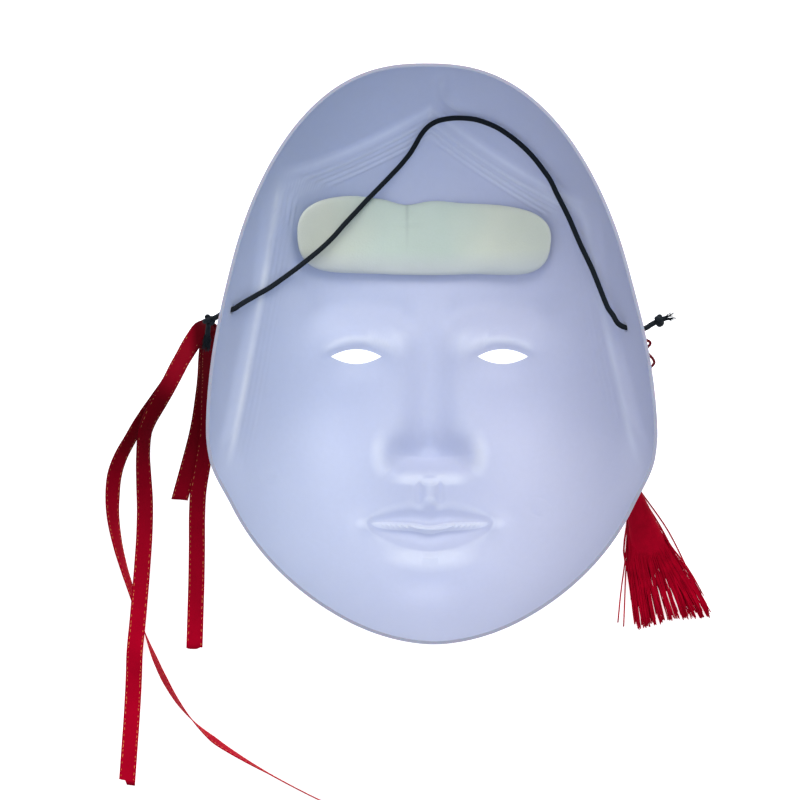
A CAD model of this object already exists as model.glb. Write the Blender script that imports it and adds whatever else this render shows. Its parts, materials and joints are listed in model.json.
import json
import random
from math import atan2, copysign, cos, exp, hypot, pi, radians, sin, sqrt

import bmesh
import bpy
from mathutils import Matrix, Vector

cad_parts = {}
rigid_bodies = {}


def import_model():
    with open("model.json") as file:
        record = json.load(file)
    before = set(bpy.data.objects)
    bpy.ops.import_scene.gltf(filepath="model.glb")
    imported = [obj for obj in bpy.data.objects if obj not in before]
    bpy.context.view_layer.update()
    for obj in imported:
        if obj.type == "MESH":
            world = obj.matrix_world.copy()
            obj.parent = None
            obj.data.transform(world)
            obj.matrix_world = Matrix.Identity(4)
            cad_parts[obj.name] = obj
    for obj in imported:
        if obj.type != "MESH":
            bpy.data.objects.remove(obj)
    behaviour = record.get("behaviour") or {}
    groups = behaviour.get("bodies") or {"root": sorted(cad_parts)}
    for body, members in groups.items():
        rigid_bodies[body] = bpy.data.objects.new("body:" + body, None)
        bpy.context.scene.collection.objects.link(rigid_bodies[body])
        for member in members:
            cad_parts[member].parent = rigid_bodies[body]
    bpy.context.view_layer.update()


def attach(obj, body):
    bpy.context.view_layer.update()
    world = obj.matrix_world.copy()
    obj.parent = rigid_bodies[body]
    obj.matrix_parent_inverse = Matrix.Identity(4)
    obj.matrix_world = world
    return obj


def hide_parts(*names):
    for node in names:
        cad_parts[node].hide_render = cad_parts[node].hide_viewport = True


# A moulded plastic face mask that lies face down, seen from its hollow back, with its pad,
# elastic, knots, ribbon tails and tassel. Metres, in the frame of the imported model.

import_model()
scene = bpy.context.scene
scene.view_settings.view_transform = "Standard"
scene.view_settings.look = "None"
mm = 0.001
print("frame loaded")


# Camera: straight above the mask, a little off its middle
photoView = {"place": (-0.0117, -0.0172, 0.888), "lens": 99.9}


def addCamera(view):
    data = bpy.data.cameras.new("photo_camera")
    data.lens = view["lens"]
    data.sensor_width = 36
    data.clip_start = 0.01
    camera = bpy.data.objects.new("photo_camera", data)
    camera.location = view["place"]
    scene.collection.objects.link(camera)
    scene.camera = camera


addCamera(photoView)
print("camera placed")


# Small helpers that every piece uses
def mix(a, b, share):
    return a + (b - a) * share


def smooth(start, end, value):
    t = min(1.0, max(0.0, (value - start) / (end - start)))
    return t * t * (3 - 2 * t)


def falling(start, end, value):
    return 1 - smooth(start, end, value)


def ridge(value, middle, width):
    return exp(-(((value - middle) / width) ** 2))


def bump(x, y, cx, cy, rx, ry):
    return ridge(x, cx, rx) * ridge(y, cy, ry)


def alongTable(table, place):
    # straight lines between the (place, value) pairs of a table
    for (p0, v0), (p1, v1) in zip(table, table[1:]):
        if place <= p1:
            return mix(v0, v1, (place - p0) / (p1 - p0))
    return table[-1][1]


def finishPiece(bm, name, materials, smoothShade=True):
    mesh = bpy.data.meshes.new(name)
    bm.to_mesh(mesh)
    bm.free()
    piece = bpy.data.objects.new(name, mesh)
    scene.collection.objects.link(piece)
    for material in materials:
        mesh.materials.append(material)
    mesh.polygons.foreach_set("use_smooth", [smoothShade] * len(mesh.polygons))
    mesh.update()
    return piece


def ownPiece(piece, slotName, *nodes):
    if nodes:
        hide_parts(*nodes)
    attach(piece, "root")


# Material helpers
def addNode(tree, kind, inputs=None, **settings):
    made = tree.nodes.new(kind)
    for key, value in settings.items():
        setattr(made, key, value)
    for key, value in (inputs or {}).items():
        if isinstance(value, bpy.types.NodeSocket):
            tree.links.new(value, made.inputs[key])
        else:
            made.inputs[key].default_value = value
    return made


def mathNode(tree, operation, first, second=0.0, third=0.0):
    inputs = {0: first, 1: second}
    if operation in {"MULTIPLY_ADD", "SMOOTH_MAX"}:
        inputs[2] = third
    return addNode(tree, "ShaderNodeMath", inputs, operation=operation).outputs[0]


def mixColor(tree, share, first, second, blend="MIX"):
    inputs = {0: share, 6: first, 7: second}
    return addNode(tree, "ShaderNodeMix", inputs, data_type="RGBA", blend_type=blend).outputs[2]


def mapRange(tree, value, low, high, newLow, newHigh):
    inputs = {"Value": value, "From Min": low, "From Max": high, "To Min": newLow, "To Max": newHigh}
    return addNode(tree, "ShaderNodeMapRange", inputs).outputs[0]


def noise(tree, vector, scale, detail=3.0, roughness=0.5):
    inputs = {"Vector": vector, "Scale": scale, "Detail": detail, "Roughness": roughness}
    return addNode(tree, "ShaderNodeTexNoise", inputs).outputs[0]


def objectPlace(tree):
    return addNode(tree, "ShaderNodeTexCoord").outputs["Object"]


def attribute(tree, name, output="Fac"):
    return addNode(tree, "ShaderNodeAttribute", attribute_name=name).outputs[output]


def newMaterial(name, plain):
    material = bpy.data.materials.new(name)
    material.use_nodes = True
    shader = material.node_tree.nodes["Principled BSDF"]
    for key, value in plain.items():
        shader.inputs[key].default_value = value
    return material, material.node_tree, shader


def newGroup(name, inputs, outputs):
    group = bpy.data.node_groups.new(name, "ShaderNodeTree")
    for label, kind, value in inputs:
        socket = group.interface.new_socket(label, in_out="INPUT", socket_type=kind)
        if value is not None:
            socket.default_value = value
    for label, kind in outputs:
        group.interface.new_socket(label, in_out="OUTPUT", socket_type=kind)
    return group, group.nodes.new("NodeGroupInput").outputs, group.nodes.new("NodeGroupOutput").inputs


def placeGroup(tree, group, inputs):
    made = tree.nodes.new("ShaderNodeGroup")
    made.node_tree = group
    for key, value in inputs.items():
        if isinstance(value, bpy.types.NodeSocket):
            tree.links.new(value, made.inputs[key])
        else:
            made.inputs[key].default_value = value
    return made.outputs


# Uneven colour, in broad clouds and fine grain, that every surface has a little of
def makeMottle():
    group, given, result = newGroup(
        "uneven_colour",
        [("Color", "NodeSocketColor", None), ("Vector", "NodeSocketVector", None),
         ("Scale", "NodeSocketFloat", 40.0), ("Strength", "NodeSocketFloat", 0.1)],
        [("Color", "NodeSocketColor"), ("Mask", "NodeSocketFloat")])
    cloud = noise(group, given["Vector"], given["Scale"], 2.0)
    grain = noise(group, given["Vector"], mathNode(group, "MULTIPLY", given["Scale"], 22.0), 2.0)
    both = mathNode(group, "MULTIPLY_ADD", grain, 0.35, mathNode(group, "MULTIPLY", cloud, 0.65))
    centred = mathNode(group, "SUBTRACT", both, 0.5)
    gain = mathNode(group, "MULTIPLY_ADD", centred, given["Strength"], 1.0)
    scaled = addNode(group, "ShaderNodeVectorMath", {0: given["Color"], "Scale": gain}, operation="SCALE")
    group.links.new(scaled.outputs[0], result["Color"])
    group.links.new(both, result["Mask"])
    return group


# Crossing helical strands on a cord, from its UV map: around, and along in millimetres
def makeBraid():
    group, given, result = newGroup(
        "braided_strands",
        [("Strands", "NodeSocketFloat", 6.0), ("Pitch", "NodeSocketFloat", 0.5)],
        [("Height", "NodeSocketFloat")])
    place = addNode(group, "ShaderNodeUVMap", uv_map="UVMap").outputs[0]
    parts = addNode(group, "ShaderNodeSeparateXYZ", {0: place}).outputs
    around = mathNode(group, "MULTIPLY", parts[0], given["Strands"])
    along = mathNode(group, "MULTIPLY", parts[1], given["Pitch"])
    waves = []
    for operation in ("ADD", "SUBTRACT"):
        turn = mathNode(group, "MULTIPLY", mathNode(group, operation, around, along), 2 * pi)
        waves.append(mathNode(group, "SINE", turn))
    group.links.new(mathNode(group, "MAXIMUM", waves[0], waves[1]), result["Height"])
    return group


# Red dye, deeper near the mask and lighter on the raised pair of ribbon tails
def makeDye():
    group, given, result = newGroup(
        "deeper_dye",
        [("Color", "NodeSocketColor", None), ("Vector", "NodeSocketVector", None), ("Least", "NodeSocketFloat", 0.3)],
        [("Color", "NodeSocketColor")])
    parts = addNode(group, "ShaderNodeSeparateXYZ", {0: given["Vector"]}).outputs
    low = mapRange(group, parts[1], -0.113, -0.034, 1.0, given["Least"])
    outside = mapRange(group, parts[0], -0.0925, -0.087, 0.68, 0.0)
    raised = mathNode(group, "MULTIPLY", outside, mapRange(group, parts[2], 0.008, 0.024, 0.0, 1.0))
    shade = mathNode(group, "MAXIMUM", low, raised)
    scaled = addNode(group, "ShaderNodeVectorMath", {0: given["Color"], "Scale": shade}, operation="SCALE")
    group.links.new(scaled.outputs[0], result["Color"])
    return group


mottle = makeMottle()
braid = makeBraid()
dye = makeDye()


# Routes: one smooth line through hand-placed points
def smoothRoute(points, spacing):
    # centripetal line through the points, cut into even steps; a point's fourth number is its turn
    places = [Vector(p[:3]) for p in points]
    turns = [radians(p[3]) if len(p) > 3 else 0.0 for p in points]
    ends = [2 * places[0] - places[1], *places, 2 * places[-1] - places[-2]]
    dense = []
    for i in range(len(places) - 1):
        a, b, c, d = ends[i : i + 4]
        t0, t1, t2 = ((q - p).length ** 0.5 for p, q in ((a, b), (b, c), (c, d)))
        start = ((b - a) / t0 - (c - a) / (t0 + t1) + (c - b) / t1) * t1
        end = ((c - b) / t1 - (d - b) / (t1 + t2) + (d - c) / t2) * t1
        for k in range(24):
            t = k / 24
            place = (2 * t**3 - 3 * t**2 + 1) * b + (t**3 - 2 * t**2 + t) * start
            place += (3 * t**2 - 2 * t**3) * c + (t**3 - t**2) * end
            dense.append((place, mix(turns[i], turns[i + 1], t)))
    dense.append((places[-1], turns[-1]))
    lengths = [0.0]
    for (p, _), (q, _) in zip(dense, dense[1:]):
        lengths.append(lengths[-1] + (q - p).length)
    count = max(2, round(lengths[-1] / spacing))
    route = []
    j = 0
    for k in range(count + 1):
        wanted = lengths[-1] * k / count
        while j < len(dense) - 2 and lengths[j + 1] < wanted:
            j += 1
        share = min(1.0, (wanted - lengths[j]) / (lengths[j + 1] - lengths[j]))
        (p, turnP), (q, turnQ) = dense[j], dense[j + 1]
        route.append((p.lerp(q, share), mix(turnP, turnQ, share)))
    return route, lengths[-1]


def tangentAt(places, i):
    return (places[min(i + 1, len(places) - 1)] - places[max(i - 1, 0)]).normalized()


def placeMatrix(across, upward, forward, place):
    turn = Matrix((across, upward, forward)).transposed().to_4x4()
    return Matrix.Translation(place) @ turn


def roundFrames(places, twist=0.0):
    # frames that don't turn about a cord, but for the twist that is asked for, in turns a metre
    frames = []
    across = None
    travelled = 0.0
    for i, place in enumerate(places):
        forward = tangentAt(places, i)
        if across is None:
            across = forward.orthogonal().normalized()
        across = (across - across.dot(forward) * forward).normalized()
        if i:
            travelled += (place - places[i - 1]).length
        turned = Matrix.Rotation(2 * pi * twist * travelled, 3, forward) @ across
        frames.append(placeMatrix(turned, forward.cross(turned), forward, place))
    return frames


def flatFrames(route):
    # a ribbon's frames: level across, but for the turn that the route gives
    places = [place for place, _ in route]
    frames = []
    for i, (place, turn) in enumerate(route):
        forward = tangentAt(places, i)
        across = Vector((0, 0, 1)).cross(forward).normalized()
        across = Matrix.Rotation(turn, 3, forward) @ across
        frames.append(placeMatrix(across, forward.cross(across), forward, place))
    return frames


def sweep(bm, section, frames, sizes=None, shifts=None):
    # extrudes a closed section from frame to frame and maps it: around, and along in millimetres
    uv = bm.loops.layers.uv.verify()
    start = [bm.verts.new(frames[0] @ Vector((x, y, 0))) for x, y in section]
    ring = [bm.edges.new((start[i], start[(i + 1) % len(start)])) for i in range(len(start))]
    first = ring
    around = {vert: i / len(start) for i, vert in enumerate(start)}
    along = {vert: 0.0 for vert in start}
    verts = start
    faces = []
    travelled = 0.0
    size = sizes[0] if sizes else 1.0
    if size != 1.0:
        bmesh.ops.transform(bm, matrix=frames[0] @ Matrix.Scale(size, 4) @ frames[0].inverted(), verts=start)
    for i in range(1, len(frames)):
        made = bmesh.ops.extrude_edge_only(bm, edges=ring)["geom"]
        newVerts = [g for g in made if isinstance(g, bmesh.types.BMVert)]
        travelled += (frames[i].translation - frames[i - 1].translation).length / mm
        near = {}
        for old in verts:
            for edge in old.link_edges:
                other = edge.other_vert(old)
                if other in near or other in around:
                    continue
                near[other] = around[old]
        around.update(near)
        along.update({vert: travelled for vert in newVerts})
        nextSize = sizes[i] if sizes else 1.0
        move = frames[i] @ Matrix.Scale(nextSize / size, 4) @ frames[i - 1].inverted()
        bmesh.ops.transform(bm, matrix=move, verts=newVerts)
        faces += [g for g in made if isinstance(g, bmesh.types.BMFace)]
        ring = [g for g in made if isinstance(g, bmesh.types.BMEdge) and all(v in near for v in g.verts)]
        verts = newVerts
        size = nextSize
    if shifts:
        forward = frames[-1].col[2].to_3d()
        for vert in verts:
            vert.co += forward * alongTable(shifts, 1 - abs(1 - 2 * around[vert]))
    faces += bmesh.ops.contextual_create(bm, geom=first)["faces"]
    faces += bmesh.ops.contextual_create(bm, geom=ring)["faces"]
    for face in faces:
        values = [around[loop.vert] for loop in face.loops]
        wraps = max(values) - min(values) > 0.5
        for loop, value in zip(face.loops, values):
            loop[uv].uv = (value + 1 if wraps and value < 0.5 else value, along[loop.vert])
    return faces


def roundSection(radius, sides, lobes=0, depth=0.0):
    points = []
    for i in range(sides):
        angle = 2 * pi * i / sides
        reach = radius * (1 + depth * cos(lobes * angle))
        points.append((reach * cos(angle), reach * sin(angle)))
    return points


def closeSweep(bm, name, material):
    bmesh.ops.recalc_face_normals(bm, faces=bm.faces)
    return finishPiece(bm, name, [material])


# Black elastic: round and braided, from knot to knot
elastic = {
    "diameter": 0.002, "sides": 14, "spacing": 0.0012, "color": (0.0105, 0.0165, 0.0235, 1), "strands": 6, "pitch": 0.42,
    "route": [
        (-0.0824, 0.01325, 0.0532), (-0.0809, 0.0138, 0.054), (-0.0787, 0.015, 0.0554),
        (-0.0765, 0.0161, 0.0565), (-0.0736, 0.017, 0.0568), (-0.0724, 0.0181, 0.0542),
        (-0.0699, 0.0201, 0.0494), (-0.0673, 0.022, 0.0442), (-0.0657, 0.0232, 0.0411),
        (-0.0637, 0.0245, 0.0387), (-0.0621, 0.0256, 0.0368), (-0.0601, 0.0271, 0.0346),
        (-0.058, 0.0289, 0.0314), (-0.056, 0.0306, 0.0285), (-0.054, 0.0323, 0.0259),
        (-0.0517, 0.0341, 0.0249), (-0.0471, 0.0378, 0.0242), (-0.0426, 0.0416, 0.0232),
        (-0.0379, 0.0463, 0.021), (-0.0335, 0.0516, 0.0184), (-0.0288, 0.0568, 0.0166),
        (-0.0243, 0.062, 0.0132), (-0.0196, 0.0671, 0.0102), (-0.015, 0.0719, 0.0096),
        (-0.0117, 0.0754, 0.0101), (-0.0095, 0.0779, 0.0111), (-0.0077, 0.0801, 0.0124),
        (-0.0057, 0.0831, 0.0149), (-0.0037, 0.0863, 0.0181), (-0.0017, 0.0886, 0.021),
        (0.0002, 0.0901, 0.0225), (0.003, 0.0915, 0.0231), (0.0062, 0.0922, 0.0237),
        (0.0097, 0.0925, 0.0243), (0.0137, 0.0923, 0.0252), (0.0176, 0.0917, 0.0261),
        (0.0215, 0.0904, 0.0269), (0.0255, 0.0886, 0.0276), (0.0294, 0.0861, 0.0282),
        (0.0333, 0.0831, 0.0288), (0.0372, 0.0795, 0.0294), (0.0407, 0.0756, 0.03),
        (0.0435, 0.0718, 0.0305), (0.0462, 0.0678, 0.0313), (0.0487, 0.0623, 0.0327),
        (0.053, 0.0531, 0.0353), (0.0574, 0.0424, 0.0377), (0.0616, 0.0328, 0.0406),
        (0.0646, 0.0246, 0.0434), (0.0659, 0.0209, 0.0449), (0.0672, 0.0175, 0.0467),
        (0.0689, 0.0147, 0.0489), (0.0703, 0.012, 0.0503), (0.072, 0.0106, 0.0511),
        (0.0748, 0.0098, 0.0515), (0.0784, 0.0095, 0.0515), (0.0809, 0.0099, 0.0513),
        (0.0831, 0.0113, 0.0513), (0.0846, 0.0121, 0.0517),
    ],
}


def elasticMaterial(values):
    material, tree, shader = newMaterial("black_elastic", {"Roughness": 0.8, "Specular IOR Level": 0.2})
    height = placeGroup(tree, braid, {"Strands": values["strands"], "Pitch": values["pitch"]})["Height"]
    lit = mapRange(tree, height, -0.4, 1.0, 0.35, 1.3)
    dark = addNode(tree, "ShaderNodeVectorMath", {0: values["color"][:3], "Scale": lit}, operation="SCALE").outputs[0]
    color = placeGroup(tree, mottle, {"Color": dark, "Vector": objectPlace(tree), "Scale": 500.0, "Strength": 0.9})
    tree.links.new(color["Color"], shader.inputs["Base Color"])
    normal = addNode(tree, "ShaderNodeBump", {"Strength": 0.9, "Distance": 0.0003, "Height": height})
    tree.links.new(normal.outputs[0], shader.inputs["Normal"])
    return material


blackElastic = elasticMaterial(elastic)


def makeElastic(values):
    route, length = smoothRoute(values["route"], values["spacing"])
    places = [place for place, _ in route]
    bm = bmesh.new()
    sweep(bm, roundSection(values["diameter"] / 2, values["sides"]), roundFrames(places))
    return closeSweep(bm, "elastic", blackElastic), places, length


elasticPiece, elasticPath, elasticLength = makeElastic(elastic)


# Knots: a small overhand knot of the same elastic, and its frayed end
knots = {
    "loop": 0.00056, "cord": 0.00092, "steps": 72, "hair": 0.00011,
    "left": {
        "node": "left_knot", "at": (-0.0836, 0.0129, 0.0526), "towards": (-0.13, -0.8, -0.58), "length": 0.0145,
        "stub": 0.0075, "hairs": 150, "spread": 0.0011, "lean": 0.35,
    },
    "right": {
        "node": "right_knot", "at": (0.0859, 0.0128, 0.052), "towards": (0.94, 0.3, 0.12), "length": 0.0066,
        "stub": 0.0027, "hairs": 34, "spread": 0.0016, "lean": 0.6,
    },
}


def makeKnot(side, values, seed):
    chance = random.Random(seed)
    forward = Vector(side["towards"]).normalized()
    across = forward.orthogonal().normalized()
    upward = forward.cross(across)
    at = Vector(side["at"])
    bm = bmesh.new()
    loop = []
    for i in range(values["steps"] + 1):
        t = 2 * pi * (0.06 + 0.88 * i / values["steps"])
        x, y, z = sin(t) + 2 * sin(2 * t), cos(t) - 2 * cos(2 * t), -1.25 * sin(3 * t)
        loop.append(at + values["loop"] * (x * across + y * upward + z * forward))
    sweep(bm, roundSection(values["cord"], 12), roundFrames(loop))
    stub = [at + forward * side["stub"] * k / 8 for k in range(1, 9)]
    sizes = [1.0, 1.0, 1.0, 1.02, 1.06, 1.1, 1.0, 0.7]
    sweep(bm, roundSection(values["cord"], 12), roundFrames(stub), sizes)
    for _ in range(side["hairs"]):
        angle = chance.uniform(0, 2 * pi)
        rim = values["cord"] * sqrt(chance.random()) * 0.95
        reach = side["length"] * chance.uniform(0.62, 1.0)
        start = side["stub"] * chance.uniform(0.45, 0.95)
        flare = side["spread"] * chance.uniform(0.1, 1.0)
        bend = chance.uniform(-1, 1) * side["lean"]
        hair = []
        for k in range(7):
            t = k / 6
            out = (rim + flare * t**1.6) * (cos(angle + bend * t) * across + sin(angle + bend * t) * upward)
            hair.append(at + forward * mix(start, reach, t) + out)
        sweep(bm, roundSection(values["hair"], 4), roundFrames(hair))
    return closeSweep(bm, side["node"] + "_tied", blackElastic)


leftKnot = makeKnot(knots["left"], knots, 11)
rightKnot = makeKnot(knots["right"], knots, 12)
ownPiece(elasticPiece, "black_elastic", "elastic_cord")
ownPiece(leftKnot, "black_elastic", "left_knot")
ownPiece(rightKnot, "black_elastic", "right_knot")
print("elastic and knots made")


# Ribbon tails: red satin with a row of gold stitches along each edge
ribbon = {
    "width": 0.0065, "thick": 0.0003, "camber": 0.00012, "across": 8, "spacing": 0.0021,
    "gathered": 0.4, "gather": 0.008, "color": (0.50, 0.0004, 0.0195, 1), "roughness": 0.6,
    "shaded": 0.24,
}
ribbonTails = {
    "ribbon_long": {
        "cut": [(0, -0.003), (0.16, -0.002), (0.46, -0.0018), (0.52, -0.0001), (1, 0.0001)],
        "route": [
            (-0.085, 0.0124, 0.0508, 0), (-0.0867, 0.0106, 0.0465, 8), (-0.0886, 0.0083, 0.0442, 9),
            (-0.092, 0.0039, 0.0395, 10), (-0.0951, -0.0006, 0.0335, 10), (-0.0983, -0.0052, 0.0275, 9),
            (-0.1013, -0.01, 0.0215, 4), (-0.1048, -0.0152, 0.0156, -6),
            (-0.1083, -0.0204, 0.0108, -20), (-0.111, -0.0251, 0.0082, -34),
            (-0.1131, -0.0303, 0.0056, -42), (-0.1141, -0.0391, 0.0031, -42),
            (-0.1139, -0.0491, 0.0021, -28), (-0.1136, -0.0591, 0.001, -8),
            (-0.1138, -0.0711, 0.0014, 0), (-0.1143, -0.083, 0.004, 0), (-0.1148, -0.0927, 0.0064, 0),
            (-0.1157, -0.1046, 0.0076, 0), (-0.117, -0.1167, 0.0066, 0), (-0.1179, -0.129, 0.0026, 0),
            (-0.1189, -0.1431, 0.0004, 0), (-0.1199, -0.1571, 0.0004, 0), (-0.1209, -0.1711, 0.0004, 0),
        ],
    },
    "ribbon_outer": {
        "cut": [(0, 0.0), (1, 0.0014)],
        "route": [
            (-0.0848, 0.0121, 0.0503, 0), (-0.0871, 0.0097, 0.044, 8), (-0.0892, 0.0072, 0.0406, 9),
            (-0.0929, 0.0025, 0.0344, 10), (-0.0964, -0.0021, 0.0284, 9), (-0.0995, -0.0068, 0.0224, 4),
            (-0.1028, -0.0116, 0.0166, -4), (-0.1062, -0.0156, 0.0116, -14),
            (-0.1095, -0.0194, 0.0076, -28), (-0.113, -0.0233, 0.0046, -42),
            (-0.1164, -0.0279, 0.0032, -48), (-0.1191, -0.0325, 0.0031, -50),
            (-0.1231, -0.0398, 0.0029, -43), (-0.1255, -0.0469, 0.0027, -36),
            (-0.1263, -0.0548, 0.0028, -38), (-0.1261, -0.0636, 0.003, -50),
            (-0.1243, -0.0744, 0.0033, -64), (-0.1218, -0.0839, 0.0034, -73),
            (-0.119, -0.0927, 0.0035, -78), (-0.1162, -0.1017, 0.0033, -84),
            (-0.113, -0.111, 0.0033, -100), (-0.1095, -0.12, 0.0033, -114),
            (-0.1054, -0.1288, 0.0034, -118), (-0.1002, -0.1376, 0.0034, -111),
            (-0.0938, -0.1455, 0.0034, -98), (-0.0858, -0.1527, 0.0034, -79),
            (-0.0755, -0.1595, 0.0034, -88), (-0.0643, -0.1659, 0.0034, -98),
            (-0.054, -0.1715, 0.0034, -99), (-0.0444, -0.1763, 0.0034, -99),
            (-0.0348, -0.1807, 0.0034, -99),
        ],
    },
    "ribbon_inner": {
        "cut": [(0, -0.0004), (0.25, 0.0004), (0.6, 0.0004), (0.78, -0.0005), (1, -0.0003)],
        "route": [
            (-0.084, 0.0122, 0.0504, 0), (-0.0837, 0.0102, 0.0438, 0), (-0.0841, 0.0078, 0.0412, 0),
            (-0.0847, 0.0038, 0.0368, 0), (-0.0853, -0.0014, 0.0306, 0), (-0.0862, -0.0086, 0.0212, 0),
            (-0.0874, -0.0172, 0.0112, 0), (-0.0882, -0.026, 0.0046, 0), (-0.089, -0.034, 0.002, 0),
            (-0.0906, -0.0432, 0.0014, 0), (-0.0922, -0.0531, 0.0014, 0), (-0.0928, -0.0632, 0.0009, 0),
            (-0.0929, -0.0752, 0.0004, 0), (-0.0931, -0.0892, 0.0004, 0), (-0.0935, -0.1032, 0.0004, 0),
            (-0.0939, -0.1164, 0.0004, 0),
        ],
    },
    "ribbon_short": {
        "cut": [(0, 0.0006), (0.5, -0.0002), (1, -0.0008)],
        "route": [
            (-0.0842, 0.0118, 0.05, 0), (-0.0846, 0.008, 0.0399, 0), (-0.0854, 0.0044, 0.0359, 0),
            (-0.0866, -0.0012, 0.0284, 0), (-0.088, -0.0086, 0.0174, 0), (-0.0899, -0.017, 0.0074, 0),
            (-0.0915, -0.0248, 0.0022, 0), (-0.093, -0.0316, 0.0006, 0), (-0.0953, -0.0404, 0.0004, 0),
            (-0.0977, -0.0492, 0.0004, 0), (-0.0999, -0.0572, 0.0004, 0),
        ],
    },
}
stitch = {
    "inset": 0.0007, "pitch": 0.0021, "length": 0.0018, "width": 0.00044, "proud": 0.0001,
    "start": 0.012, "worn": 0.5, "color": (0.92, 0.29, 0.065, 1),
}


def satinMaterial(values):
    plain = {"Roughness": values["roughness"], "Specular IOR Level": 0.02}
    material, tree, shader = newMaterial("red_satin", plain)
    uv = addNode(tree, "ShaderNodeUVMap", uv_map="UVMap").outputs[0]
    parts = addNode(tree, "ShaderNodeSeparateXYZ", {0: uv}).outputs
    rib = mathNode(tree, "SINE", mathNode(tree, "MULTIPLY", parts[1], 2 * pi * 2.6))
    warp = mathNode(tree, "SINE", mathNode(tree, "MULTIPLY", parts[0], 2 * pi * 60))
    weave = mathNode(tree, "MULTIPLY_ADD", warp, 0.4, rib)
    color = placeGroup(tree, mottle, {"Color": values["color"], "Vector": objectPlace(tree), "Scale": 90.0, "Strength": 0.55})
    shade = mapRange(tree, weave, -1.4, 1.4, 0.86, 1.08)
    woven = addNode(tree, "ShaderNodeVectorMath", {0: color["Color"], "Scale": shade}, operation="SCALE").outputs[0]
    dyed = placeGroup(tree, dye, {"Color": woven, "Vector": objectPlace(tree), "Least": values["shaded"]})
    tree.links.new(dyed["Color"], shader.inputs["Base Color"])
    normal = addNode(tree, "ShaderNodeBump", {"Strength": 0.35, "Distance": 0.0001, "Height": weave})
    tree.links.new(normal.outputs[0], shader.inputs["Normal"])
    return material


def goldMaterial(values):
    material, tree, shader = newMaterial("gold_thread", {"Metallic": 0.3, "Roughness": 0.45})
    place = objectPlace(tree)
    color = placeGroup(tree, mottle, {"Color": values["color"], "Vector": place, "Scale": 700.0, "Strength": 0.9})
    dyed = placeGroup(tree, dye, {"Color": color["Color"], "Vector": place, "Least": 0.3})
    tree.links.new(dyed["Color"], shader.inputs["Base Color"])
    normal = addNode(tree, "ShaderNodeBump", {"Strength": 0.4, "Distance": 0.0001, "Height": color["Mask"]})
    tree.links.new(normal.outputs[0], shader.inputs["Normal"])
    return material


redSatin = satinMaterial(ribbon)
goldThread = goldMaterial(stitch)


def ribbonSection(values):
    half = values["width"] / 2
    top, bottom = [], []
    for i in range(values["across"] + 1):
        x = half * (2 * i / values["across"] - 1)
        edge = 1.35 if i in (0, values["across"]) else 1.0  # the selvedge is a little thicker
        lift = values["camber"] * (1 - (x / half) ** 2)
        bottom.append((x, lift - edge * values["thick"] / 2))
        top.append((x, lift + edge * values["thick"] / 2))
    return bottom + top[::-1]


def stitchRow(bm, frames, seed):
    chance = random.Random(seed)
    travelled = [0.0]
    for before, after in zip(frames, frames[1:]):
        travelled.append(travelled[-1] + (after.translation - before.translation).length)
    for side in (-1, 1):
        place = stitch["start"] + stitch["pitch"] * chance.uniform(0.6, 1.2)
        i = 0
        while place < travelled[-1] - stitch["pitch"] * 0.6:
            while travelled[i + 1] < place:
                i += 1
            share = (place - travelled[i]) / (travelled[i + 1] - travelled[i])
            at = frames[i].lerp(frames[i + 1], share)
            x = side * (ribbon["width"] / 2 - stitch["inset"] + chance.uniform(-1, 1) * 0.00008)
            z = ribbon["camber"] * (1 - (2 * x / ribbon["width"]) ** 2)
            size = (stitch["width"] * chance.uniform(0.7, 1.2), ribbon["thick"] + 2 * stitch["proud"],
                    stitch["length"] * chance.uniform(0.5, 1.3))
            turn = Matrix.Rotation(chance.uniform(-0.14, 0.14), 4, "Y")
            matrix = at @ Matrix.Translation((x, z, 0)) @ turn @ Matrix.Diagonal((*size, 1))
            # near the knot more of the stitches are worn away
            if chance.random() > stitch["worn"] * falling(0.0, 0.5 * travelled[-1], place):
                bmesh.ops.create_icosphere(bm, subdivisions=1, radius=0.5, matrix=matrix)
            place += stitch["pitch"] * chance.uniform(0.7, 1.35)


def makeRibbon(node, tail, seed):
    route, length = smoothRoute(tail["route"], ribbon["spacing"])
    frames = flatFrames(route)
    # the tail is gathered to a narrow fold where the knot holds it
    sizes = [mix(ribbon["gathered"], 1.0, smooth(0, ribbon["gather"], i * length / (len(route) - 1)))
             for i in range(len(route))]
    bm = bmesh.new()
    sweep(bm, ribbonSection(ribbon), frames, sizes, shifts=tail["cut"])
    piece = closeSweep(bm, node + "_satin", redSatin)
    bm = bmesh.new()
    stitchRow(bm, frames, seed)
    stitches = finishPiece(bm, node + "_stitches", [goldThread])
    ownPiece(piece, "red_satin", node)
    ownPiece(stitches, "red_satin")


for seed, (node, tail) in enumerate(ribbonTails.items()):
    makeRibbon(node, tail, 20 + seed)
print("ribbon tails made")


# Red silk: the twisted cord and the tassel on it
silk = {"color": (0.58, 0.0004, 0.022, 1), "roughness": 0.6, "shaded": 0.24}
tasselCord = {
    "diameter": 0.0012, "sides": 15, "lobes": 3, "depth": 0.14, "turns": 190, "spacing": 0.0008,
    "route": [
        (0.0799, 0.0087, 0.0496), (0.0805, 0.0075, 0.048), (0.0802, 0.0065, 0.0466),
        (0.0836, 0.0046, 0.043), (0.0826, 0.0023, 0.0385), (0.0836, 0.0006, 0.0356),
        (0.0856, -0.0011, 0.032), (0.0867, -0.0028, 0.0284), (0.0855, -0.0048, 0.0244),
        (0.0836, -0.0078, 0.0182), (0.0822, -0.0122, 0.0114), (0.0812, -0.0176, 0.0056),
        (0.0806, -0.0235, 0.002), (0.0799, -0.0295, 0.001), (0.0787, -0.0352, 0.002),
        (0.0774, -0.0405, 0.0045), (0.0779, -0.0437, 0.0047), (0.0793, -0.0483, 0.0047),
        (0.0808, -0.0534, 0.0047),
    ],
}
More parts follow.
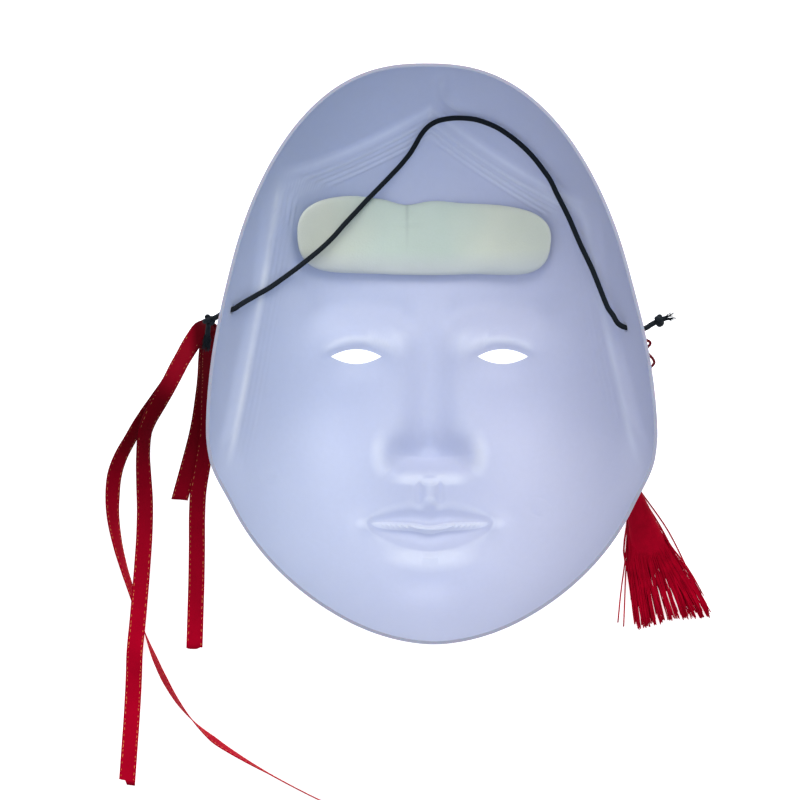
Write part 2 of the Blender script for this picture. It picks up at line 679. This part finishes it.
tassel = {
    "at": (0.0772, -0.0412, 0.0), "turn": -163.5, "length": 0.067, "spread": 0.0155, "flatness": 0.17,
    "head": 0.0043, "neck": 0.0026, "lift": 0.0004, "threads": 440, "thread": 0.00026, "bindings": 6,
    "core": [(0.9, 8.2), (1.05, 11), (1.8, 21), (2.6, 33), (2.9, 40), (2.5, 45)], "clumps": 13,
    "coreSize": 0.0026, "strays": [
        [(0.0795, -0.0640), (0.0784, -0.0801), (0.0766, -0.0940), (0.0754, -0.1062)],
        [(0.0799, -0.0700), (0.0786, -0.0850), (0.0781, -0.0980), (0.0777, -0.1078)],
        [(0.0843, -0.0535), (0.0955, -0.0695), (0.1044, -0.0872), (0.1108, -0.0989)],
        [(0.0850, -0.0560), (0.0931, -0.0690), (0.1005, -0.0840), (0.1062, -0.0960)],
    ],
}


def silkMaterial(values):
    plain = {"Roughness": values["roughness"], "Specular IOR Level": 0.03}
    material, tree, shader = newMaterial("red_silk", plain)
    place = objectPlace(tree)
    color = placeGroup(tree, mottle, {"Color": values["color"], "Vector": place, "Scale": 260.0, "Strength": 0.9})
    dyed = placeGroup(tree, dye, {"Color": color["Color"], "Vector": place, "Least": values["shaded"]})
    tree.links.new(dyed["Color"], shader.inputs["Base Color"])
    fibre = noise(tree, place, 3800.0, 2.0)
    normal = addNode(tree, "ShaderNodeBump", {"Strength": 0.3, "Distance": 0.0001, "Height": fibre})
    tree.links.new(normal.outputs[0], shader.inputs["Normal"])
    return material


redSilk = silkMaterial(silk)


def makeTasselCord(values):
    route, length = smoothRoute(values["route"], values["spacing"])
    places = [place for place, _ in route]
    section = roundSection(values["diameter"] / 2 / (1 + values["depth"]), values["sides"], values["lobes"], values["depth"])
    bm = bmesh.new()
    sweep(bm, section, roundFrames(places, values["turns"]))
    return closeSweep(bm, "tassel_cord_twisted", redSilk), places, length


def tasselThreads(values):
    # each thread leaves the neck, spreads out and comes down on the floor
    chance = random.Random(31)
    clumps = [2 * (k + chance.uniform(0.2, 0.8)) / values["clumps"] - 1 for k in range(values["clumps"])]
    threads = []
    for i in range(values["threads"]):
        side = chance.uniform(-1, 1)
        side = copysign(abs(side) ** 0.86, side)
        level = chance.random()
        length = values["length"] * (chance.uniform(0.93, 1.0) if chance.random() < 0.8 else chance.uniform(0.8, 0.97))
        sway = chance.uniform(-1, 1) * 0.0011
        phase = chance.uniform(0, 2 * pi)
        stray = chance.random() < 0.07
        length *= 1 + 0.05 * max(0.0, -side)
        clump = min(clumps, key=lambda middle: abs(middle - side))
        points = []
        for k in range(12):
            t = k / 11
            y = mix(2.1 * values["head"], length, t)
            open_ = smooth(-0.05, 0.62, t)
            # the threads cling together towards their ends, which leaves slits
            held = mix(side, clump, 0.0 if stray else 0.72 * smooth(0.5, 0.9, t))
            x = held * mix(values["neck"] * 0.9, values["spread"] * (0.25 + 0.75 * t), open_ if t else 0)
            x *= 1 - (0.2 * ridge(t, 0.5, 0.24) if side < 0 else 0.1 * smooth(0.45, 0.8, t))
            x += sway * sin(phase + 5.2 * t) * t * (2.1 if stray else 1.0)
            round_ = sqrt(max(0.0, 1 - side**2))
            top = values["head"] + values["lift"] + (2 * level - 1) * values["neck"] * 0.9 * round_
            low = values["lift"] + values["thread"] + level * 2 * values["spread"] * values["flatness"] * 0.8 * (0.4 + 0.6 * round_)
            points.append(Vector((x, y, mix(top, low, smooth(0.0, 0.55, t)))))
        threads.append(points)
    return threads


def tasselCore(bm, values):
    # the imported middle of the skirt: round at the neck and flat on the floor at its end
    levels = [(radius * values["coreSize"], y * mm) for radius, y in values["core"]]
    frames = [placeMatrix(Vector((1, 0, 0)), Vector((0, 0, -1)), Vector((0, 1, 0)), (0, y, 0)) for _, y in levels]
    before = set(bm.verts)
    sweep(bm, roundSection(1.0, 24), frames, [radius for radius, _ in levels])
    for vert in set(bm.verts) - before:
        along = smooth(2.2 * values["head"], 0.7 * values["length"], vert.co.y)
        flat = mix(1, values["flatness"] * 0.85, along)
        high = mix(values["head"], values["spread"] * values["flatness"] * 0.85, along)
        vert.co.z = vert.co.z * flat + high + values["lift"]


def makeTassel(values):
    place = Matrix.Translation(values["at"]) @ Matrix.Rotation(radians(values["turn"]), 4, "Z")
    head, lift = values["head"], values["lift"]
    bm = bmesh.new()
    for points in tasselThreads(values):
        sweep(bm, roundSection(values["thread"], 4), roundFrames(points))
    tasselCore(bm, values)
    # the head is a ball of laid threads with ribs along it
    ball = bmesh.ops.create_uvsphere(bm, u_segments=72, v_segments=18, radius=1)["verts"]
    for vert in ball:
        angle = atan2(vert.co.y, vert.co.x)
        rib = 1 + 0.035 * cos(24 * angle)
        vert.co = Vector((vert.co.x * rib * head * 0.96, (vert.co.z + 1) * head * 1.12, vert.co.y * rib * head * 0.96 + head + lift))
    for k in range(values["bindings"]):
        ring = head * 1.95 + k * 0.00062
        loop = []
        for i in range(33):
            angle = 2 * pi * i / 32
            reach = values["neck"] * (1.06 if k in (0, values["bindings"] - 1) else 1.12)
            loop.append(Vector((reach * cos(angle), ring, reach * sin(angle) + head + lift)))
        sweep(bm, roundSection(0.00036, 6), roundFrames(loop))
    bmesh.ops.transform(bm, matrix=place, verts=bm.verts)
    for stray in values["strays"]:
        route, _ = smoothRoute([(x, y, values["thread"] * 2) for x, y in stray], 0.004)
        sweep(bm, roundSection(values["thread"] * 1.4, 4), roundFrames([at for at, _ in route]))
    return closeSweep(bm, "silk_tassel", redSilk)


tasselCordPiece, tasselCordPath, tasselCordLength = makeTasselCord(tasselCord)
tasselPiece = makeTassel(tassel)
ownPiece(tasselCordPiece, "red_silk", "tassel_cord")
ownPiece(tasselPiece, "red_silk", "tassel")
print("tassel made")


# Shell: the wall as a function of its place, in millimetres. It is a plain, calm face.
shell = {
    "crownY": 108.7, "chinY": -107.3, "width": 166.0, "wall": 1.2, "widestY": -29.0,
    "lean": 0.013, "crownPowers": (2.46, 1.7), "chinPowers": (1.8, 1.8),
    "rimTop": 58.0, "rimChin": 66.0, "rimSide": 8.0,
    "planeAtZero": 7.2, "planeSlope": 0.17, "wallPower": 0.72, "grid": 210,
    "color": (0.48, 0.53, 0.69, 1), "rightColor": (0.50, 0.51, 0.64, 1), "roughness": 0.56,
}
hair = {
    "lift": 2.0, "partY": 93.0, "partDepth": 1.4, "leftTemple": (57.5, 65.0), "rightTemple": (58.5, 54.0),
    "leftJaw": (77.5, -50.0), "rightJaw": (79.0, -50.0), "strandPitch": 1.7, "strandHeight": 0.16,
}
eye = {"x": 29.0, "y": 0.0, "width": 20.0, "height": 5.8}
cordHoles = [(-76.0, 16.7, 56.3, 1.9), (76.0, 10.2, 51.3, 1.7)]
mouldMarks = [(-62.5, -47.0, 3.2), (43.0, -59.0, 3.6)]

halfWidth = shell["width"] / 2 - hair["lift"] - shell["wall"] / 2
crownReach = shell["crownY"] - hair["lift"] - shell["wall"] / 2 - shell["widestY"]
chinReach = shell["widestY"] - shell["chinY"] - shell["wall"] / 2


def rimPlan(angle):
    s, c = sin(angle), cos(angle)
    across, along = shell["crownPowers"] if s >= 0 else shell["chinPowers"]
    y = (crownReach if s >= 0 else chinReach) * copysign(abs(s) ** (2 / along), s)
    return halfWidth * copysign(abs(c) ** (2 / across), c) - shell["lean"] * y, y


def rimHeight(x, y):
    along = (y - shell["chinY"]) / (shell["crownY"] - shell["chinY"])
    return mix(shell["rimChin"], shell["rimTop"], along) + shell["rimSide"] * (x / halfWidth) ** 2


def bowl(share, angle):
    rx, ry = rimPlan(angle)
    s = sin(angle)
    sharpness = 4 + (1.2 if s >= 0 else 2.0) * s * s
    wall = 1 - max(0.0, 1 - share**sharpness) ** shell["wallPower"]
    y = shell["widestY"] + share * ry
    plane = shell["planeAtZero"] - shell["planeSlope"] * y
    return Vector((share * rx, y, mix(plane, rimHeight(rx, shell["widestY"] + ry), wall)))


def hairCorners(x):
    side = smooth(-6, 6, x)
    temple = [mix(a, b, side) for a, b in zip(hair["leftTemple"], hair["rightTemple"])]
    jaw = [mix(a, b, side) for a, b in zip(hair["leftJaw"], hair["rightJaw"])]
    return temple, jaw


def lineDistance(x, y, x1, y1, x2, y2):
    dx, dy = x2 - x1, y2 - y1
    return (dx * (y - y1) - dy * (x - x1)) / hypot(dx, dy)


def hairDistance(x, y):
    # how far a place lies outside the hairline, which is two straight lines on each side
    (tx, ty), (jx, jy) = hairCorners(x)
    upper = lineDistance(abs(x), y, 0, hair["partY"], tx, ty)
    lower = lineDistance(abs(x), y, tx, ty, jx, jy)
    near = max(0.0, 1 - abs(upper - lower) / 3)
    return max(upper, lower) + 0.75 * near * near


def faceForms(x, y):
    ax = abs(x)
    height = 2.4 * bump(x, y, 0, 54, 40, 24) + 4.6 * bump(ax, y, 43, -24, 19, 22)
    height -= 1.5 * bump(ax, y, 60, 18, 12, 16)
    browLine = 15 + 5 * (1 - ((ax - 28) / 25) ** 2)
    height += 1.8 * ridge(y, browLine, 6.5) * smooth(3, 12, ax) * falling(40, 54, ax)
    height -= 6.5 * bump(ax, y, 28, 1, 19, 11.5) + 1.8 * bump(ax, y, 13, 4, 6, 8)
    height += 5.2 * bump(ax, y, 28.5, -1, 14, 8.2)
    lid = 6.2 - 0.02 * (ax - 28.5) ** 2
    height -= ridge(y, lid, 1.9) * smooth(13, 19, ax) * falling(38, 45, ax)
    return height + noseForm(ax, y) + mouthForm(ax, y) + chinForm(x, y)


def noseForm(ax, y):
    down = min(1.0, max(0.0, (15 - y) / 53))
    bridge = 11 * down**1.35 * smooth(-50, -37, y) * exp(-((ax / (7 + 4 * down)) ** 2.3))
    tip = 2.4 * bump(ax, y, 0, -36.5, 7.5, 7)
    wings = 4.4 * bump(ax, y, 11.6, -38.5, 6.6, 7.4) * smooth(-51, -42, y)
    return bridge + tip + wings - 0.9 * bump(ax, y, 20, -39, 4, 7)


def mouthForm(ax, y):
    muzzle = 4.6 * bump(ax, y, 0, -63, 27, 15)
    channel = smooth(-59.5, -55, y) * falling(-50, -47, y)
    philtrum = channel * (0.5 * ridge(ax, 4.2, 1.8) - 0.9 * ridge(ax, 0, 2.4))
    taper = max(0.0, 1 - (ax / 25) ** 2) ** 0.8
    line = -66 - 1.1 * ridge(ax, 0, 4.5) + 0.0016 * ax * ax
    upperLip = 2.6 * taper * ridge(y, line + 3.7 * taper, 2.9 * taper + 0.8)
    lowerLip = 3.1 * taper * ridge(y, line - 4.6 * taper, 3.7 * taper + 0.8)
    parting = 2.4 * taper * ridge(y, line, 1.3)
    return muzzle + philtrum + upperLip + lowerLip - parting - 1.3 * bump(ax, y, 26.5, -65.5, 4, 4)


def chinForm(x, y):
    return 7 * bump(x, y, 0, -90, 20, 10) - 2.4 * bump(x, y, 0, -79.5, 17, 4.5)


def partPlace(y):
    # the parting bends to one side as it comes down from the crown
    return 4.4 + (0.03 if y > 101 else 0.17) * (y - 101) ** 2


def hairForms(x, y, distance, share):
    alongRim = smooth(0.9, 0.995, share) * smooth(-56, -38, y)
    onPart = smooth(hair["partY"] - 4, hair["partY"] + 4, y) * falling(0.97, 1.0, share)
    parting = hair["partDepth"] * ridge(x, partPlace(y), 2.4) * onPart
    return hair["lift"] * max(smooth(-0.5, 3.5, distance), alongRim) - parting


def outwardFrom(surface, share, angle):
    # the direction away from the wearer, square to a surface given by share and angle
    step = 0.001
    at = min(1 - 2 * step, max(0.02, share))
    out = surface(at + step, angle) - surface(at - step, angle)
    around = surface(at, angle + step) - surface(at, angle - step)
    normal = around.cross(out)
    if share > 0.9985:
        normal.z = 0
    return normal.normalized()


def wallMiddle(share, angle):
    place = bowl(share, angle)
    distance = hairDistance(place.x, place.y)
    height = faceForms(place.x, place.y) + hairForms(place.x, place.y, distance, share)
    place = place + outwardFrom(bowl, share, angle) * height
    low = shell["wall"] / 2
    over = place.z - low
    edge = 0.6  # what would reach below the floor is flattened on it, with a soft edge
    place.z = low + (0 if over < -edge else over if over > edge else (over + edge) ** 2 / (4 * edge))
    return place


def superellipseShare(u, v, across, along):
    # the size of the superellipse with these two powers that the place lies on
    share = max(u, v)
    for _ in range(24):
        share *= ((u / share) ** across + (v / share) ** along) ** (1 / max(across, along))
    return share


def aboveInside(x, y, height):
    # a place at a height above the inner face of the wall
    dy = y - shell["widestY"]
    dx = x + shell["lean"] * dy
    across, along = shell["crownPowers"] if dy >= 0 else shell["chinPowers"]
    u = abs(dx / halfWidth)
    v = abs(dy / (crownReach if dy >= 0 else chinReach))
    share = superellipseShare(u, v, across, along)
    run = copysign((u / share) ** (across / 2), dx)
    angle = atan2(copysign((v / share) ** (along / 2), dy), run)
    return wallMiddle(share, angle) - outwardFrom(wallMiddle, share, angle) * (shell["wall"] / 2 + height)


def crossing(rx, ry, distance, x1, y1, x2, y2):
    start = lineDistance(0, shell["widestY"], x1, y1, x2, y2)
    end = lineDistance(abs(rx), shell["widestY"] + ry, x1, y1, x2, y2)
    return (distance - start) / (end - start) if end - start > 1 else 9


def ringAt(distance, angle):
    # where a ring crosses a direction: along the hairline above, around the mouth below
    rx, ry = rimPlan(angle)
    (tx, ty), (jx, jy) = hairCorners(rx)
    toUpper = crossing(rx, ry, distance, 0, hair["partY"], tx, ty)
    toLower = crossing(rx, ry, distance, tx, ty, jx, jy)
    line = min(toUpper, toLower, 0.93 + 0.015 * min(distance, 3.5))
    aroundMouth = 0.485 + 1.8 * (distance + 1.5) / hypot(rx, ry)
    return mix(line, aroundMouth, smooth(0.2, 0.9, -sin(angle)))


def ringShare(ring, angle):
    # rings lie closest together in the band of hair strands, and again at the rim
    faceEnd, bandEnd, first, last = 0.58, 0.86, -7.5, 4.0
    if ring < faceEnd:
        return ringAt(first, angle) * ring / faceEnd
    if ring < bandEnd:
        return ringAt(mix(first, last, (ring - faceEnd) / (bandEnd - faceEnd)), angle)
    along = (ring - bandEnd) / (1 - bandEnd)
    return mix(ringAt(last, angle), 1, 1 - (1 - along) ** 1.5)


def squareToRound(u, w):
    # a place on the square grid as a ring and an angle
    ring = max(abs(u), abs(w))
    if ring < 1e-9:
        return 0.0, 0.0
    if abs(u) >= abs(w):
        angle = pi / 4 * w / u
        return ring, angle if u > 0 else pi + angle
    angle = pi / 2 - pi / 4 * u / w
    return ring, angle if w > 0 else angle - pi


def strandHeight(distance, share, y):
    # fine strands above the temples, which fade on the way down to the jaw
    band = smooth(-7.4, -6.2, distance) * falling(0.4, 1.4, distance) * falling(0.92, 0.98, share)
    size = mix(0.3, 1.0, smooth(30, 60, y)) * hair["strandHeight"]
    return size * band * cos(2 * pi * distance / hair["strandPitch"])


def markHeight(x, y):
    # shallow round marks that the mould left on the inner face
    height = 0.0
    for mx, my, radius in mouldMarks:
        away = hypot(x - mx, y - my)
        height += 0.1 * ridge(away, radius, 0.5) - 0.12 * falling(radius * 0.5, radius, away)
    return height


def evenOut(bm, layer):
    # each value moves to the middle of its neighbours' values, twice over
    for _ in range(2):
        values = {v: sum(e.other_vert(v)[layer] for e in v.link_edges) / len(v.link_edges) for v in bm.verts}
        for vert, value in values.items():
            vert[layer] = mix(vert[layer], value, 0.6)


def paleCrease(distance, x, y, share):
    # the pale line where the plastic is bent sharply, at the temples and down the sides
    side = ridge(distance, 0.6, 1.0) * falling(58, 70, y) * smooth(-46, -30, y)
    strands = ridge(distance, -1.0, 0.5) + 0.7 * ridge(distance, -3.2, 0.5) + 0.6 * ridge(distance, -5.0, 0.5)
    above = (strands + 0.8 * ridge(distance, 2.6, 0.9)) * smooth(50, 62, y) * falling(0.93, 0.99, share)
    return side * (1.0 if x < 0 else 0.4) + 0.55 * above


def makeShellMesh():
    bm = bmesh.new()
    bmesh.ops.create_grid(bm, x_segments=shell["grid"], y_segments=shell["grid"], size=1)
    hairLayer = bm.verts.layers.float.new("hair_distance")
    sideLayer = bm.verts.layers.float.new("outer_side")
    foldLayer = bm.verts.layers.float.new("fold")
    creaseLayer = bm.verts.layers.float.new("pale_crease")
    shares = {}
    for vert in bm.verts:
        ring, angle = squareToRound(vert.co.x, vert.co.y)
        shares[vert] = ringShare(ring, angle)
        place = wallMiddle(shares[vert], angle)
        vert.co = place * mm
        vert[hairLayer] = hairDistance(place.x, place.y)
        vert[creaseLayer] = paleCrease(vert[hairLayer], place.x, place.y, shares[vert])
    bmesh.ops.recalc_face_normals(bm, faces=bm.faces)
    bm.normal_update()
    if sum(face.normal.z for face in bm.faces) > 0:
        bmesh.ops.reverse_faces(bm, faces=bm.faces)
        bm.normal_update()
    normals = {}
    for vert in bm.verts:
        normal = vert.normal.copy()
        if vert.is_boundary:
            normal.z = 0
            normal.normalize()
        normals[vert.index] = normal
        near = [edge.other_vert(vert).co for edge in vert.link_edges]
        middle = sum(near, Vector()) / len(near)
        reach = sum((place - vert.co).length for place in near) / len(near)
        vert[foldLayer] = 0 if vert.is_boundary else (middle - vert.co).dot(normal) / reach**2 * mm
    evenOut(bm, foldLayer)
    outer = list(bm.verts)
    copied = bmesh.ops.duplicate(bm, geom=bm.verts[:] + bm.edges[:] + bm.faces[:])
    partner = copied["vert_map"]
    half = shell["wall"] / 2
    for vert in outer:
        x, y = vert.co.x / mm, vert.co.y / mm
        inner = partner[vert]
        normal = normals[vert.index]
        strand = strandHeight(vert[hairLayer], shares[vert], y)
        vert[sideLayer] = 1.0
        inner.co = vert.co - normal * (half - strand - markHeight(x, y)) * mm
        vert.co = vert.co + normal * (half + strand) * mm
    innerFaces = [g for g in copied["geom"] if isinstance(g, bmesh.types.BMFace)]
    bmesh.ops.reverse_faces(bm, faces=innerFaces)
    edges = [edge for edge in bm.edges if edge.is_boundary]
    rim = bmesh.ops.bridge_loops(bm, edges=edges)["faces"]
    for face in rim:
        face.material_index = 1
    bmesh.ops.recalc_face_normals(bm, faces=bm.faces)
    return bm


def eyePrism(side):
    # an almond prism, made of two bowed edges
    bm = bmesh.new()
    ring = []
    count = 18
    for sign in (-1, 1):
        for i in range(count):
            t = i / count
            x = (1 - 2 * t) * sign * eye["width"] / 2
            ring.append(bm.verts.new((x * mm, 2 * t * (1 - t) * sign * eye["height"] * mm, 0)))
    base = bm.faces.new(ring)
    made = bmesh.ops.extrude_face_region(bm, geom=[base])["geom"]
    top = [g for g in made if isinstance(g, bmesh.types.BMVert)]
    bmesh.ops.translate(bm, vec=(0, 0, 0.04), verts=top)
    bmesh.ops.translate(bm, vec=(side * eye["x"] * mm, eye["y"] * mm, -0.01), verts=bm.verts)
    bmesh.ops.recalc_face_normals(bm, faces=bm.faces)
    return bm


def holePin(x, y, z, radius):
    bm = bmesh.new()
    turn = Matrix.Translation((x * mm, y * mm, z * mm)) @ Matrix.Rotation(pi / 2, 4, "Y")
    bmesh.ops.create_cone(bm, cap_ends=True, segments=28, radius1=radius * mm, radius2=radius * mm, depth=0.02, matrix=turn)
    return bm


def cutAway(piece, cutters):
    # cuts each prism out of the piece and applies the result
    for i, bm in enumerate(cutters):
        cutter = finishPiece(bm, f"cutter_{i}", [], False)
        modifier = piece.modifiers.new("cut", "BOOLEAN")
        modifier.operation = "DIFFERENCE"
        modifier.solver = "EXACT"
        modifier.object = cutter
    applied = bpy.data.meshes.new_from_object(piece.evaluated_get(bpy.context.evaluated_depsgraph_get()))
    piece.modifiers.clear()
    piece.data = applied
    for i in range(len(cutters)):
        bpy.data.objects.remove(bpy.data.objects[f"cutter_{i}"])
    applied.set_sharp_from_angle(angle=radians(38))


def plasticMaterial(values):
    plain = {"Roughness": values["roughness"], "Subsurface Weight": 0.35, "Subsurface Radius": (0.9, 1.0, 1.3),
             "Subsurface Scale": 0.0045, "Specular IOR Level": 0.36}
    material, tree, shader = newMaterial("lavender_plastic", plain)
    place = objectPlace(tree)
    fold = mapRange(tree, attribute(tree, "fold"), 0.01, 0.07, 0.0, 0.3)
    worn = mathNode(tree, "MULTIPLY", noise(tree, place, 45.0, 3.0), attribute(tree, "pale_crease"))
    creased = mathNode(tree, "MAXIMUM", fold, worn)
    # the plastic is a little pinker on one side
    sideways = addNode(tree, "ShaderNodeSeparateXYZ", {0: place}).outputs[0]
    body = mixColor(tree, mapRange(tree, sideways, -0.06, 0.06, 0.0, 1.0), values["color"], values["rightColor"])
    pale = mixColor(tree, creased, body, (0.80, 0.84, 0.93, 1))
    color = placeGroup(tree, mottle, {"Color": pale, "Vector": place, "Scale": 22.0, "Strength": 0.14})
    tree.links.new(color["Color"], shader.inputs["Base Color"])
    # faint strands combed along the hairline, over the whole of the hair
    distance = attribute(tree, "hair_distance")
    wander = mathNode(tree, "MULTIPLY_ADD", noise(tree, place, 60.0, 2.0), 1.4, distance)
    strands = mathNode(tree, "SINE", mathNode(tree, "MULTIPLY", wander, 2 * pi / 1.9))
    inHair = mathNode(tree, "MULTIPLY", mapRange(tree, distance, 2.0, 6.0, 0.0, 1.0), attribute(tree, "outer_side"))
    combed = mathNode(tree, "MULTIPLY", strands, mathNode(tree, "MULTIPLY", inHair, 0.5))
    skin = noise(tree, place, 900.0, 2.0)
    height = mathNode(tree, "MULTIPLY_ADD", skin, 0.12, combed)
    normal = addNode(tree, "ShaderNodeBump", {"Strength": 0.35, "Distance": 0.0003, "Height": height})
    tree.links.new(normal.outputs[0], shader.inputs["Normal"])
    rough = mapRange(tree, color["Mask"], 0.3, 0.7, values["roughness"] - 0.04, values["roughness"] + 0.08)
    tree.links.new(rough, shader.inputs["Roughness"])
    return material


def rimMaterial():
    # the trimmed edge, where the plastic's paler core shows
    material, tree, shader = newMaterial("trimmed_edge", {"Roughness": 0.5, "Subsurface Weight": 0.3, "Subsurface Scale": 0.003})
    color = placeGroup(tree, mottle, {"Color": (0.34, 0.37, 0.48, 1), "Vector": objectPlace(tree), "Scale": 160.0, "Strength": 0.25})
    tree.links.new(color["Color"], shader.inputs["Base Color"])
    normal = addNode(tree, "ShaderNodeBump", {"Strength": 0.4, "Distance": 0.0002, "Height": color["Mask"]})
    tree.links.new(normal.outputs[0], shader.inputs["Normal"])
    return material


def makeShell():
    piece = finishPiece(makeShellMesh(), "moulded_shell", [plasticMaterial(shell), rimMaterial()])
    cutAway(piece, [eyePrism(-1), eyePrism(1)] + [holePin(*hole) for hole in cordHoles])
    ownPiece(piece, "shell_plastic", "mask_shell")
    return piece


shellPiece = makeShell()
print("shell made,", len(shellPiece.data.polygons), "faces")


# Pad: soft foam stuck on the inside of the forehead
pad = {
    "x": -2.3, "y": 47.3, "length": 105.0, "width": 30.6, "thick": 7.1, "turn": -1.5, "gap": 0.5,
    "upperPowers": (4.6, 2.2), "lowerPowers": (9.0, 2.6), "cuts": 39, "creaseX": -6.7,
    "color": (0.59, 0.69, 0.615, 1), "yellow": (0.69, 0.735, 0.63, 1), "lowEdge": (0.62, 0.665, 0.66, 1),
}


def padPlace(direction):
    # a direction from the middle of a ball becomes a place on the pad
    turn = radians(pad["turn"])
    flat = hypot(direction.x, direction.y)
    share = min(1.0, flat) ** 0.62 if direction.z > 0 else min(1.0, flat * 1.02) ** 0.7
    angle = atan2(direction.y, direction.x)
    powers = pad["upperPowers"] if angle > 0 else pad["lowerPowers"]
    blunt = share / superellipseShare(abs(cos(angle)), abs(sin(angle)), *powers)
    x = blunt * cos(angle) * pad["length"] / 2
    y = blunt * sin(angle) * pad["width"] / 2
    nearX = x - pad["creaseX"]
    if y > 0:
        notch = ridge(nearX, 0, 6.5 if nearX > 0 else 6)
        y *= 1.12 - 0.15 * smooth(-34, -6, x) - 0.14 * notch
    else:
        y *= 1 + 0.02 * ridge(x, -5, 12) - 0.06 * smooth(5, 25, x)
    side = sqrt(max(0.0, 1 - share**2.6))
    level = 0.45 + 0.55 * side if direction.z > 0 else 0.45 * (1 - side)
    crease = 0.26 * ridge(nearX, 0.6 - y * 0.05, 2.2) * smooth(-9, 11, y) + 0.05 * ridge(nearX, 0, 12)
    swell = 0.05 * ridge(x, -32, 16) + 0.04 * ridge(x, 36, 11) - 0.06 * ridge(x, 10.3, 8) * ridge(y, -7.4, 6)
    lift = (1 + swell - crease) if direction.z > 0 else 1
    px = pad["x"] + x * cos(turn) - y * sin(turn)
    py = pad["y"] + x * sin(turn) + y * cos(turn)
    return aboveInside(px, py, pad["gap"] + pad["thick"] * level * lift)


def foamMaterial(values):
    plain = {"Roughness": 0.88, "Subsurface Weight": 0.4, "Subsurface Radius": (1.0, 1.0, 0.8), "Subsurface Scale": 0.004,
             "Sheen Weight": 0.15}
    material, tree, shader = newMaterial("pale_foam", plain)
    place = objectPlace(tree)
    parts = addNode(tree, "ShaderNodeSeparateXYZ", {0: place}).outputs
    # yellowed towards both ends, greyer along the lower edge, and darker in the crease
    away = mathNode(tree, "ABSOLUTE", mathNode(tree, "ADD", parts[0], 0.006))
    ends = mathNode(tree, "MULTIPLY_ADD", noise(tree, place, 26.0, 2.0), 0.03, away)
    tone = mixColor(tree, mapRange(tree, ends, 0.03, 0.05, 0.0, 1.0), values["color"], values["yellow"])
    tone = mixColor(tree, mapRange(tree, parts[1], 0.034, 0.042, 1.0, 0.0), tone, values["lowEdge"])
    fromLine = mathNode(tree, "ABSOLUTE", mathNode(tree, "ADD", parts[0], 0.0089))
    line = mapRange(tree, fromLine, 0.0, 0.0011, 1.0, 0.0)
    inCrease = mathNode(tree, "MULTIPLY", line, mapRange(tree, parts[1], 0.040, 0.058, 0.0, 0.4))
    tone = mixColor(tree, inCrease, tone, (0.36, 0.44, 0.42, 1))
    color = placeGroup(tree, mottle, {"Color": tone, "Vector": place, "Scale": 60.0, "Strength": 0.12})
    tree.links.new(color["Color"], shader.inputs["Base Color"])
    pores = addNode(tree, "ShaderNodeTexVoronoi", {"Vector": place, "Scale": 1500.0}).outputs["Distance"]
    height = mathNode(tree, "MULTIPLY_ADD", noise(tree, place, 420.0, 3.0), 0.7, pores)
    normal = addNode(tree, "ShaderNodeBump", {"Strength": 0.25, "Distance": 0.0002, "Height": height})
    tree.links.new(normal.outputs[0], shader.inputs["Normal"])
    return material


def makePad():
    bm = bmesh.new()
    bmesh.ops.create_cube(bm, size=2)
    bmesh.ops.subdivide_edges(bm, edges=bm.edges, cuts=pad["cuts"], use_grid_fill=True)
    for vert in bm.verts:
        vert.co = padPlace(vert.co.normalized()) * mm
    bmesh.ops.recalc_face_normals(bm, faces=bm.faces)
    piece = finishPiece(bm, "soft_pad", [foamMaterial(pad)])
    ownPiece(piece, "pad_foam", "forehead_pad")


makePad()
print("pad made")


# Floor and lights
studio = {
    "floor": 1.6, "floorGlow": 0.72, "world": 0.36, "worldColor": (0.84, 0.92, 1.0, 1),
    "key": {"place": (0.17, 0.93, 0.92), "size": 0.9, "power": 13.4, "color": (1.0, 0.975, 0.95)},
    "fill": {"place": (-0.2, -0.2, 1.4), "size": 1.2, "power": 5.6, "color": (0.94, 0.96, 1.0)},
}


def addArea(name, light):
    data = bpy.data.lights.new(name, "AREA")
    data.size = light["size"]
    data.energy = light["power"]
    data.color = light["color"]
    lamp = bpy.data.objects.new(name, data)
    lamp.location = light["place"]
    lamp.rotation_euler = (-Vector(light["place"])).to_track_quat("-Z", "Y").to_euler()
    scene.collection.objects.link(lamp)


def makeStudio(values):
    world = bpy.data.worlds.new("studio")
    world.use_nodes = True
    background = world.node_tree.nodes["Background"]
    background.inputs["Color"].default_value = values["worldColor"]
    background.inputs["Strength"].default_value = values["world"]
    scene.world = world
    addArea("key_light", values["key"])
    addArea("fill_light", values["fill"])
    plain = {"Roughness": 0.9, "Emission Strength": values["floorGlow"]}
    material, tree, shader = newMaterial("pale_floor", plain)
    color = placeGroup(tree, mottle, {"Color": (0.9, 0.9, 0.9, 1), "Vector": objectPlace(tree), "Scale": 3.0, "Strength": 0.02})
    tree.links.new(color["Color"], shader.inputs["Base Color"])
    shader.inputs["Emission Color"].default_value = (1, 1, 1, 1)
    bm = bmesh.new()
    bmesh.ops.create_grid(bm, x_segments=1, y_segments=1, size=values["floor"])
    finishPiece(bm, "floor", [material], False)


makeStudio(studio)
print("floor and lights placed")
